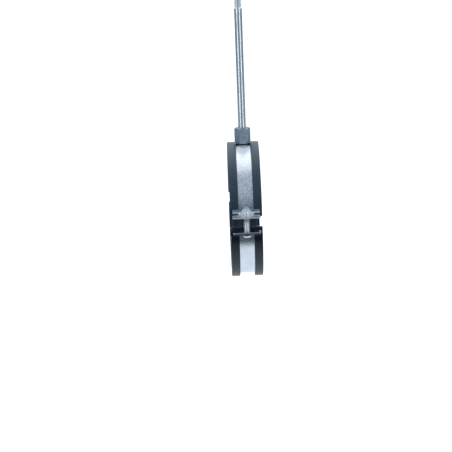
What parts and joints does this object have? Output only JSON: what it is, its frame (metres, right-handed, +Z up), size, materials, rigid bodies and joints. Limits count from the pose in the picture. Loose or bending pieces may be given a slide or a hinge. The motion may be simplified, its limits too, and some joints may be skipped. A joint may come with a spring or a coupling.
{
  "type": "duct clamp",
  "caption": "Hanging duct clamp: two rubber-lined steel half bands joined by ear screws, with a hexagon boss on a threaded hanger rod.",
  "frame": {"origin": "centre of the upper half's duct seat, on the duct's axis and in the middle of the band's width", "axes": "+X along the duct, +Z up the hanger rod, -Y toward the front pair of ears"},
  "size_m": [0.0324, 0.156, 0.2951],
  "materials": {
    "zinc_plated_band": "zinc-plated strip, satin with fine mottling",
    "lining_rubber": "matte black rubber",
    "boss_steel": "dull zinc-plated turned steel",
    "rod_steel": "zinc-plated rolled thread",
    "screw_steel": "bright zinc-plated steel"
  },
  "bodies": {
    "hanger": {"hanger_rod": "rod_steel"},
    "upper_half": {"upper_band": "zinc_plated_band", "upper_lining": "lining_rubber", "connection_boss": "boss_steel"},
    "lower_half": {"lower_band": "zinc_plated_band", "lower_lining": "lining_rubber"},
    "front_screw": {"front_clamp_screw": "screw_steel"},
    "rear_screw": {"rear_clamp_screw": "screw_steel"}
  },
  "joints": [
    {"name": "boss_turn", "type": "hinge", "parent": "hanger", "child": "upper_half", "pos_m": [0, 0, 0.0801], "axis": [0, 0, 1], "range_deg": [-180, 180]},
    {"name": "closing", "type": "slide", "parent": "upper_half", "child": "lower_half", "axis": [0, 0, 1], "range_m": [-0.004, 0.0107]},
    {"name": "front_screw_turn", "type": "hinge", "parent": "lower_half", "child": "front_screw", "pos_m": [0, -0.0715, -0.01425], "axis": [0, 0, 1], "range_deg": [-1441, 3853]},
    {"name": "rear_screw_turn", "type": "hinge", "parent": "lower_half", "child": "rear_screw", "pos_m": [0, 0.0715, -0.01425], "axis": [0, 0, 1], "range_deg": [-1441, 3853]}
  ],
  "couplings": [
    {"joint": "front_screw_turn", "follows": "closing", "rad_per_m": 6283.2},
    {"joint": "rear_screw_turn", "follows": "closing", "rad_per_m": 6283.2}
  ]
}
